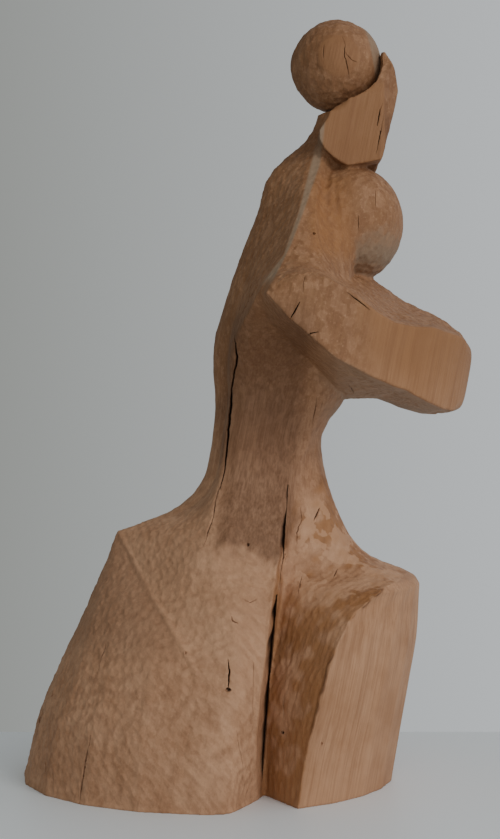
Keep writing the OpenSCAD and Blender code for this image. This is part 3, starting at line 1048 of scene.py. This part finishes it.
def wood(name: str, look: WoodLook, log: Log, roughness: float) -> bpy.types.Material:
    """Makes the wood's material.

    Args:
        name: The material's name.
        look: Colours and sizes.
        log: The log, whose rings and fibres lean with it.
        roughness: Roughness of clean wood.

    Returns:
        The material.
    """
    g = Graph(bpy.data.materials.new(name))
    place = g.node("ShaderNodeTexCoord")[3]
    x, y, z = g.node("ShaderNodeSeparateXYZ", (place,))
    upright = x - z * log.lean
    bend = g.noise(place, 7.0, 2.0)
    bend_far = g.noise(place, 16.0, 2.0)
    tone = g.node("ShaderNodeAttribute", attribute_name="tone")[0]
    carved, weathered_and_painted_light, dark = g.node("ShaderNodeSeparateColor", (tone,))
    facets = g.node("ShaderNodeAttribute", attribute_name="facet")[0]
    facet, ochre, patch = g.node("ShaderNodeSeparateColor", (facets,))

    far = ((upright * upright) + (y * y) * 1.2) ** 0.5
    drift = bend * 0.055 + bend_far * 0.018
    rings = (far + drift) * (2 * math.pi / look.ring)
    ring = (rings.sine() * 0.5 + 0.5) ** 2.2
    wide = ((far + drift) * (2 * math.pi / (look.ring * 4.3))).sine() * 0.5 + 0.5

    def stretched(across: float, up: float, detail: float = 4.0, rough: float = 0.55) -> Value:
        """Gives noise drawn out along the fibres."""
        parts = ((upright + drift * 0.1) * across, y * across, z * up)
        line = g.node("ShaderNodeCombineXYZ", parts)[0]
        return g.noise(line, 1.0, detail, rough)

    fibre = stretched(700, 22)
    streak = stretched(190, 7)
    band = stretched(42, 2.4, 3.0)
    aslant = ((x * SLANT_COS + z * SLANT_SIN) * 300.0, y * 300.0,
              (z * SLANT_COS - x * SLANT_SIN) * 48.0)
    sweep = g.noise(g.node("ShaderNodeCombineXYZ", aslant)[0], 1.0, 4.0, 0.6)
    mottle = g.noise(place, 330.0, 5.0, 0.65)
    fleck = g.noise(place, 420.0, 3.0, 0.6)
    blotch = g.noise(place, 24.0, 5.0, 0.62)
    skirt = z.span(0.16, 0.24, 1.0, 0.0)
    loose = 1.0 - skirt * carved * 0.75
    swept = skirt * carved * x.span(0.05, 0.04)

    upper = z.span(0.24, 0.34)
    flame = g.noise(place, 46.0, 3.0, 0.6).span(0.50, 0.53) * patch
    # shade mixes the dark channel's brown stains with painted shade, broken up by the grain.
    shade = dark.span(0.0, 0.8) * (streak * 0.20 + fibre.span(0.36, 0.64) * 0.14 + 0.44)
    # deep is painted shade on crack walls, full a few millimetres below the surface.
    deep = g.node("ShaderNodeAttribute", attribute_name="deep")[2]
    colour = g.mix(blotch.span(0.34, 0.66) * 0.6 + 0.28, look.tan, look.pale)
    # Among these layers the grey one also paints bounce light, the ochre one paints light in the
    # chest hollow, the shade one mixes brown stains with painted shade, and the last one is painted
    # shade inside cracks.
    layers = (
        (upper * 0.76, g.mix(0.5, look.ochre, look.umber)),
        (ring * (carved * 0.15 + 0.04) + wide * 0.10 * carved, look.brown),
        (fibre.span(0.40, 0.72) * loose * 0.34, look.brown),
        (streak.span(0.46, 0.72) * loose * 0.30, look.brown),
        (band.span(0.42, 0.7) * loose * 0.14, look.brown),
        (sweep.span(0.42, 0.66) * swept * 0.22, look.brown),
        (mottle.span(0.36, 0.70) * carved * (upper * 0.16 + 0.18), look.brown),
        (fleck.span(0.52, 0.74) * carved * 0.30, look.pale),
        (facet.span(0.45, 1.0) * carved * (0.26 - upper * 0.08), look.pale),
        (facet.span(0.45, 0.0) * carved * 0.14, look.brown),
        ((1.0 - carved) * 0.24, g.mix(0.35, look.ochre, look.brown)),
        (swept * z.span(0.06, 0.13) * 0.32, look.pale),
        (ochre * 0.72, g.mix(streak.span(0.4, 0.7) * 0.5, look.ochre, look.brown)),
        (flame * 0.6, look.pale),
        (weathered_and_painted_light * 0.85, g.mix(mottle * 0.5, look.grey, look.brown)),
        (shade, g.mix(0.5, look.brown, look.crack)),
        (deep, look.crack),
    )
    for share, tint in layers:
        colour = g.mix(share, colour, tint)
    g.plug(g.shader.inputs["Base Color"], colour)
    g.plug(g.shader.inputs["Roughness"], (mottle * 0.16 + roughness).at_least(deep * 0.9))
    g.shader.inputs["Specular IOR Level"].default_value = 0.32

    height = fibre * 0.6 + mottle * carved * 0.8 + ring * 0.25 + streak * 0.4 + sweep * swept
    bump = g.node("ShaderNodeBump")[0]
    made = bump.link.node
    made.inputs["Strength"].default_value = 0.95
    made.inputs["Distance"].default_value = 0.0006
    g.plug(made.inputs["Height"], height)
    g.plug(g.shader.inputs["Normal"], bump)
    return g.owner


# ---------------------------------------------------------------- the figure

PARTS = (
    Part("hair_bun", Finish.CARVED), Part("face_block", Finish.SMOOTH),
    Part("neck", Finish.CARVED), Part("bust", Finish.CARVED), Part("back", Finish.CARVED),
    Part("right_shoulder", Finish.CARVED), Part("left_shoulder", Finish.CARVED),
    Part("right_forearm", Finish.SMOOTH), Part("left_forearm", Finish.SMOOTH),
    Part("waist", Finish.CARVED), Part("rear_skirt", Finish.CARVED),
    Part("front_skirt", Finish.SMOOTH),
)

CRACKS = (
    Crack(((42, -96, 383), (40, -97, 379), (32, -80, 369), (23, -55, 354), (21, -64, 343)),
          1.4, 8, 0.3),
    Crack(((26, -60, 350), (21, -64, 343), (21, -66, 336), (23, -62, 326), (21, -54, 317),
           (19, -46, 304), (17, -47, 280), (15, -49, 252), (14, -50, 243), (10, -54, 228)),
          2.9, 16, 0.5, False, (0.1, 1, 0)),
    Crack(((12, -52, 236), (8, -56, 221), (3, -67, 198), (-3, -73, 183)), 1.2, 7, 0.6),
    Crack(((62, -53, 231), (60, -61, 214), (58.5, -68, 200), (56.6, -77, 176), (53, -95, 154),
           (50, -110, 131), (48, -118, 108)), 4.4, 24, 0.3, True, (0.1, 1, 0), 0.2, True),
    Crack(((52.5, -97, 150), (50, -111, 131), (47.6, -119, 108), (45, -122, 85), (42, -122, 41),
           (40.4, -119, 0)), 9.5, 72, 0.2, True, (0.04, 1, 0), 0.3, True),
    Crack(((-75, -72, 114), (-75, -75, 109), (-80, -79, 96), (-85, -82, 83)), 1.3, 5, 0.6),
    Crack(((-84, -99, 50), (-85, -100, 42), (-87, -100, 32), (-92, -102, 1)), 2.8, 9, 0.5,
          False, None, 0.3),
    Crack(((17, -117, 108), (19, -120, 99), (18, -123, 87)), 1.7, 7, 0.3),
    Crack(((-131, -16, 55), (-133, -18, 46), (-132, -34, 37)), 7.0, 12, 0.4, False, (0.5, 0.87, 0)),
    Crack(((58, -88, 76), (57, -89, 69), (58, -91, 60)), 1.2, 6, 0.3),
    Crack(((36, -111, 106), (36, -114, 85), (36, -114, 66)), 0.8, 4, 0.7),
    Crack(((24, -125, 58), (27, -123, 44), (30, -114, 16)), 0.8, 4, 0.7),
    Crack(((88, -37, 213), (85, -40, 207), (83, -42, 203)), 1.5, 5, 0.3),
    Crack(((100, -56, 168), (96, -63, 161)), 1.2, 4, 0.3),
    Crack(((73, -60, 163), (71, -64, 158), (69, -70, 150)), 0.8, 4, 0.3),
    Crack(((72, -44, 216), (73, -46, 204), (69, -53, 185)), 0.8, 4, 0.8),
    Crack(((20, -104, 137), (21, -105, 134), (25, -105, 132)), 1.2, 3, 0.2),
    Crack(((39, -95, 149), (34, -97, 146), (28, -96, 149)), 0.7, 2, 0.2),
    Crack(((136, -34, 526), (134, -36, 519), (132, -36, 508)), 1.2, 4, 0.2),
    Crack(((140, -31, 527), (136, -35, 509), (131, -36, 487)), 1.0, 4, 0.3),
    Crack(((69, -134, 362), (65, -134, 355), (61, -133, 349)), 1.3, 6, 0.3),
    Crack(((73, -126, 339), (77, -134, 340), (82, -133, 341)), 1.3, 5, 0.2),
    Crack(((102, -130, 369), (111, -128, 363), (119, -126, 357)), 1.1, 5, 0.2),
    Crack(((105, -113, 315), (109, -112, 313), (113, -108, 311)), 1.5, 5, 0.2),
    Crack(((109, -56, 307), (111, -50, 304), (114, -37, 301)), 1.3, 4, 0.3),
    Crack(((116, -55, 436), (116, -55, 423)), 1.1, 4, 0.2),
    Crack(((91, -77, 408), (95, -75, 406), (99, -72, 403)), 1.3, 4, 0.2),
    Crack(((73, -125, 379), (71, -130, 369)), 0.9, 3, 0.2),
    Crack(((84, -43, 298), (84, -40, 288), (83, -36, 277)), 1.3, 6, 0.4),
    Crack(((89, -41, 295), (88, -38, 286)), 1.1, 5, 0.3),
    Crack(((130, -47, 457), (130, -52, 444)), 0.8, 3, 0.2),
    Crack(((-121, -66, 24), (-119, -73, 10)), 0.9, 4, 0.2),
    Crack(((-114, -78, 22), (-113, -81, 9)), 0.8, 4, 0.2),
)
BUN_CRACKS = (
    Crack(((104, -34, 578), (107, -36, 570), (106, -36, 562), (109, -35, 555), (110, -31, 545)),
          1.0, 4, 0.6),
    Crack(((107, -36, 565), (112, -35, 559), (117, -33, 558)), 0.8, 3, 0.4),
    Crack(((91, -33, 571), (90, -34, 560)), 0.7, 3, 0.3),
)
PITS = (
    Pit((18, -123, 87), (2.2, 3.0, 1.7)), Pit((-120, -40, 69), (1.3, 2.0, 1.6)),
    Pit((57, -92, 50), (1.7, 3.0, 1.4)), Pit((32, -75, 187), (1.1, 2.5, 1.6)),
    Pit((81, -86, 418), (1.2, 2.5, 1.2)), Pit((85, -112, 46), (0.8, 1.5, 1.3)),
    Pit((-13, -108, 111), (0.6, 1.5, 1.2)), Pit((-131, -24, 50), (3.0, 5.0, 6.0)),
)


# The planes that part the masses.
SKIRT_SAW = Saw(0.0441, 0, 5.339)
ARM_SAW = Saw(0.048746, 0.375, -31.495)
BACK_SAW = Saw(0.048746, 0.375, 20.277)
CHEST_SAW = Saw(0.131, 0.395, 18 - 90)
SHOULDER_SAWS = {"left_shoulder": Saw(0.108, 0, 0, 125, 0.053),
                 "right_shoulder": Saw(0.108, 0, 0, -125, -0.053)}

ROUGHNESS = {Finish.CARVED: 0.62, Finish.SMOOTH: 0.58}
BODY_REACH, BUN_REACH = 0.004, 0.003    # how far the first smoothing reaches, in metres
# How far a vertex may lie from the uncut surface and still count as on it, and the distances at
# which a crack's wall starts to take painted shade and is fully dark with it, in metres.
ON_SKIN, CRACK_FROM, CRACK_TO = 0.0008, 0.0010, 0.0026
ON_SAW = 4e-6       # how far a vertex of a sawn face may lie from its plane, in metres


@dataclass(frozen=True)
class Skin:
    """A carved surface as it was before cracks and saws went into it.

    Attributes:
        tree: Search tree of its vertices.
        tone: Five tone channels and a facet number for each vertex.
        normal: Its normal at each vertex.
    """

    tree: KDTree
    tone: np.ndarray
    normal: np.ndarray


@dataclass
class Figure:
    """The carved figure, built over copies of its CAD masses.

    Attributes:
        log: The log that it is carved from.
        grain: Sizes of its surface.
        made: The finished pieces by node name.
        saws: The planes that part them.
    """

    log: Log = field(default_factory=Log)
    grain: Grain = field(default_factory=Grain)
    made: dict[str, bpy.types.Object] = field(default_factory=dict)
    saws: list[Saw] = field(default_factory=list)

    def mass(self, nodes: Sequence[str], name: str) -> bpy.types.Object:
        """Joins copies of CAD nodes into one closed object.

        Args:
            nodes: The nodes' names.
            name: The new object's name.

        Returns:
            The joined object.
        """
        copies = []
        for node in nodes:
            bm = bmesh.new()
            bm.from_mesh(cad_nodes()[node].data)
            bmesh.ops.remove_doubles(bm, verts=bm.verts, dist=1e-6)
            copies.append(solid_object(node + "_copy", bm))
        whole, rest = copies[0], copies[1:]
        whole.name = name
        if rest:
            combine(whole, rest, "UNION")
        return whole

    def part_with(self, obj: bpy.types.Object, saw: Saw, front: str, rear: str) -> tuple:
        """Saws an object in two and keeps the plane."""
        self.saws.append(saw)
        return split(obj, saw, front, rear)

    def saw_up(self, whole: bpy.types.Object) -> None:
        """Parts the carved body along its saw planes.

        Args:
            whole: The body, which is used up.
        """
        hip, elbow_z = (corner.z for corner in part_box("waist"))
        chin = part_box("neck")[0].z
        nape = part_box("face_block")[0].x
        part = self.part_with
        upper, lower = part(whole, Saw(0, hip, -90), "upper", "lower")
        fore, rear = part(lower, SKIRT_SAW, "front_skirt", "rear_skirt")
        head, trunk = part(upper, Saw(0, chin, -90), "head", "trunk")
        face, neck = part(head, Saw(nape, chin, 0), "face_block", "neck")
        front = copy_of(trunk, "front")
        for saw in (BACK_SAW, ARM_SAW):
            front, spare = split(front, saw, "front", "spare")
            remove(spare)
        high, low = part(trunk, Saw(0, elbow_z, -90), "back", "waist")
        spare, high = part(high, BACK_SAW, "spare", "back")
        remove(spare)
        spare, low = part(low, ARM_SAW, "spare", "waist")
        remove(spare)
        chest, arms = part(front, CHEST_SAW, "chest", "arms")
        for name, saw in SHOULDER_SAWS.items():
            self.made[name], chest = part(chest, saw, name, "bust")
        left_arm, right_arm = part(arms, Saw(0, 0, 0, 90), "left_forearm", "right_forearm")
        self.made.update(front_skirt=fore, rear_skirt=rear, face_block=face, neck=neck, back=high,
                         waist=low, bust=chest, left_forearm=left_arm, right_forearm=right_arm)

    def carved(self, relief: Relief, nodes: Sequence[str], name: str, surface: Surface,
               reach: float, cracks: Sequence[Crack],
               pits: Sequence[Pit]) -> tuple[bpy.types.Object, Skin]:
        """Carves the joined copy of CAD nodes and opens its cracks.

        Args:
            relief: The carver.
            nodes: The nodes' names.
            name: The new object's name.
            surface: Tells how each point is worked.
            reach: Reach of the smoothing that comes first, in metres.
            cracks: The cracks.
            pits: The pits.

        Returns:
            The carved object and its surface as it was before the cracks.
        """
        obj = self.mass(nodes, name)
        facets = relief.carve(obj, surface, reach)
        p, n = positions(obj.data), normals(obj.data)
        LOG.info("%s: %d vertices", name, len(p))
        skin = Skin(kd_tree(p), np.column_stack([surface.tone(p, n), facets]), n)
        relief.open_cracks(obj, cracks, pits)
        return obj, skin

    def build(self) -> None:
        """Builds every piece and hides the CAD nodes behind it."""
        relief = Relief(self.grain, *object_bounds())
        bun_low, bun_high = (np.array(corner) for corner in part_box("hair_bun"))
        ball = (bun_low + bun_high) / 2, (bun_high[0] - bun_low[0]) / 2
        rest = [part.node for part in PARTS if part.node != "hair_bun"]
        body, skin = self.carved(relief, rest, "body", Surface(self.log, ball, seat=True),
                                 BODY_REACH, CRACKS, PITS)
        self.saw_up(body)
        bun, bun_skin = self.carved(relief, ["hair_bun"], "bun",
                                    Surface(self.log, ball, seat=False), BUN_REACH,
                                    BUN_CRACKS, ())
        self.made["hair_bun"] = bun
        woods = {finish: wood(finish.value, WoodLook(), self.log, roughness)
                 for finish, roughness in ROUGHNESS.items()}
        for part in PARTS:
            self.dress(part, bun_skin if part.node == "hair_bun" else skin, woods[part.finish])

    def dress(self, part: Part, skin: Skin, material: bpy.types.Material) -> None:
        """Colours and shades a piece and puts it in its CAD node's place.

        Args:
            part: The piece's node and finish.
            skin: The surface that it was cut from.
            material: Its wood.
        """
        piece = self.made[part.node]
        piece.name = piece.data.name = part.node + "_carved"
        hits = np.array([skin.tree.find(q)[1:] for q in positions(piece.data)])
        nearest, gap = hits[:, 0].astype(int), hits[:, 1]
        # The deep attribute is painted shade inside cracks.
        self.paint(piece, skin.tone[nearest], ramp(CRACK_FROM, CRACK_TO, gap))
        self.shade(piece, skin.normal[nearest], gap < ON_SKIN)
        piece.data.materials.clear()
        piece.data.materials.append(material)
        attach(piece, BODY)
        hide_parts(part.node)
        LOG.info("%s: %d faces", piece.name, len(piece.data.polygons))

    def paint(self, piece: bpy.types.Object, tone: np.ndarray, deep: np.ndarray) -> None:
        """Stores the tone, facet and deep attributes on a piece.

        Args:
            piece: The piece.
            tone: Five tone channels and a facet number for each vertex.
            deep: Painted shade, 1 inside cracks, 0 on the surface.
        """
        mesh = piece.data
        ones = np.ones(len(tone))
        sets = {"tone": np.column_stack([tone[:, :3], ones]),
                "facet": np.column_stack([tone[:, 5], tone[:, 3], tone[:, 4], ones])}
        for name, rows in sets.items():
            layer = mesh.attributes.new(name, "FLOAT_COLOR", "POINT")
            layer.data.foreach_set("color", rows.astype(np.float32).ravel())
        layer = mesh.attributes.new("deep", "FLOAT", "POINT")
        layer.data.foreach_set("value", deep.astype(np.float32))

    def shade(self, piece: bpy.types.Object, normal: np.ndarray, near: np.ndarray) -> None:
        """Shades the carved surface smooth and the sawn faces flat.

        Args:
            piece: The piece.
            normal: The uncut surface's normal at each vertex.
            near: Whether a vertex lies on the uncut surface.
        """
        mesh = piece.data
        p = positions(mesh)
        corner = np.empty(len(mesh.loops), np.int32)
        mesh.loops.foreach_get("vertex_index", corner)
        first = np.empty(len(mesh.polygons), np.int32)
        mesh.polygons.foreach_get("loop_start", first)
        smooth = np.ones(len(mesh.polygons), bool)
        sides = np.empty(len(mesh.polygons), np.int32)
        mesh.polygons.foreach_get("loop_total", sides)
        for saw in self.saws:
            on = np.abs((p - np.array((saw.x, saw.y, saw.z))) @ np.array(saw.normal())) < ON_SAW
            smooth &= ~np.logical_and.reduceat(on[corner], first)
        mesh.polygons.foreach_set("use_smooth", smooth)
        mesh.update()
        rim = np.zeros(len(p), bool)
        rim[corner[np.repeat(~smooth, sides)]] = True
        outer = np.repeat(smooth, sides) & rim[corner] & near[corner]
        bent = np.where(outer[:, None], normal[corner], 0.0)
        mesh.normals_split_custom_set(bent)


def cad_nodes() -> dict[str, bpy.types.Object]:
    """Gives the CAD frame's objects by name."""
    return FRAME["nodes"]


# ---------------------------------------------------------------- stage


def light(name: str, place: Sequence[float], aim: Sequence[float], size: float, power: float,
          colour: Sequence[float]) -> None:
    """Adds a large soft light.

    Args:
        name: Its name.
        place: Where it hangs, in metres.
        aim: The point that it faces.
        size: Its side, in metres.
        power: Its power, in watts.
        colour: Its linear colour.
    """
    data = bpy.data.lights.new(name, "AREA")
    data.shape, data.size, data.energy, data.color = "SQUARE", size, power, colour
    lamp = bpy.data.objects.new(name, data)
    lamp.location = place
    lamp.rotation_euler = (Vector(aim) - Vector(place)).to_track_quat("-Z", "Y").to_euler()
    bpy.context.scene.collection.objects.link(lamp)
    lamp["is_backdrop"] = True


@dataclass(frozen=True)
class Room:
    """The floor, the walls' glow, the lights and the camera.

    Attributes:
        floor_half: Half of the floor's width and depth, in metres.
        floor_end: How far the floor reaches past the figure's middle, in metres.
        dim: The walls' colour behind her.
        bright: The walls' colour before her.
        glow: The walls' strength as a light.
        glow_seen: Their strength as they are seen.
        lens: The camera's focal length, in millimetres, behind a 36 mm frame.
        shift: How far the frame is raised, in frame heights.
        eye: The camera's place, in metres.
    """

    floor_half: tuple[float, float] = (2.4, 1.3)
    floor_end: float = 0.165
    dim: tuple = rgb(130, 132, 127)
    bright: tuple = rgb(190, 194, 197)
    glow: float = 1.10
    glow_seen: float = 1.18
    lens: float = 61.83075
    shift: float = 0.03396901
    eye: tuple[float, float, float] = (0.0335, -1.15, 0.259)

    def lay_floor(self) -> None:
        """Adds the pale floor."""
        wide, deep = self.floor_half
        bm = bmesh.new()
        bmesh.ops.create_grid(bm, x_segments=1, y_segments=1, size=1)
        bmesh.ops.scale(bm, verts=bm.verts, vec=(wide, deep, 1))
        bmesh.ops.translate(bm, verts=bm.verts, vec=(0, self.floor_end - deep, 0))
        floor = solid_object("floor", bm)
        g = Graph(bpy.data.materials.new("pale_floor"))
        g.shader.inputs["Base Color"].default_value = rgb(240, 245, 248)
        g.shader.inputs["Roughness"].default_value = 0.45
        floor.data.materials.append(g.owner)
        floor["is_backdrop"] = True

    def raise_walls(self) -> None:
        """Surrounds the scene with softly glowing walls."""
        g = Graph(bpy.data.worlds.new("room"), "Background")
        way = g.node("ShaderNodeTexCoord")[0]
        across = g.node("ShaderNodeSeparateXYZ", (way,))[0]
        share = g.node("ShaderNodeMapRange", (across, -0.25, 0.2))[0]
        seen = g.node("ShaderNodeLightPath")[0]
        power = g.node("ShaderNodeMapRange", (seen, 0.0, 1.0, self.glow, self.glow_seen))[0]
        g.plug(g.shader.inputs[0], g.mix(share, self.dim, self.bright))
        g.plug(g.shader.inputs[1], power)
        bpy.context.scene.world = g.owner

    def hang_lights(self) -> None:
        """Adds the window's light and the room's."""
        light("window", (1.3, -1.55, 1.3), (0.05, 0, 0.3), 0.8, 14, (1.0, 0.98, 0.95))
        light("room", (0.2, -2.3, 0.7), (0, 0, 0.25), 2.0, 8, (0.95, 0.97, 1.0))

    def set_camera(self) -> None:
        """Adds the camera, level and square to her side."""
        camera = bpy.data.cameras.new("camera")
        camera.lens, camera.sensor_width, camera.shift_y = self.lens, 36, self.shift
        eye = bpy.data.objects.new("camera", camera)
        eye.location = self.eye
        eye.rotation_euler = (math.radians(90), 0, 0)
        bpy.context.scene.collection.objects.link(eye)
        bpy.context.scene.camera = eye

    def furnish(self) -> None:
        """Adds everything around the figure."""
        self.lay_floor()
        self.raise_walls()
        self.hang_lights()
        self.set_camera()


def corners() -> list[list[float]]:
    """Gives the shown object's lowest and highest corners as plain lists."""
    return [[float(c) for c in corner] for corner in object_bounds()]


def main() -> None:
    """Builds the figure and its stage."""
    logging.basicConfig(level=logging.INFO, format="%(message)s")
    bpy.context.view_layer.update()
    Figure().build()
    Room().furnish()


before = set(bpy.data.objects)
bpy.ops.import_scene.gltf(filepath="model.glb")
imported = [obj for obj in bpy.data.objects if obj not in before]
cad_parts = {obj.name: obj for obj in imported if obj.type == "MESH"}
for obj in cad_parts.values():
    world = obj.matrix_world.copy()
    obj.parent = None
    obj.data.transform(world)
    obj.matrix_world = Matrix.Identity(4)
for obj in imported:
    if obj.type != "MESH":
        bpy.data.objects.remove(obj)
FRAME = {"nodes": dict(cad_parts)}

if __name__ == "__main__":
    main()
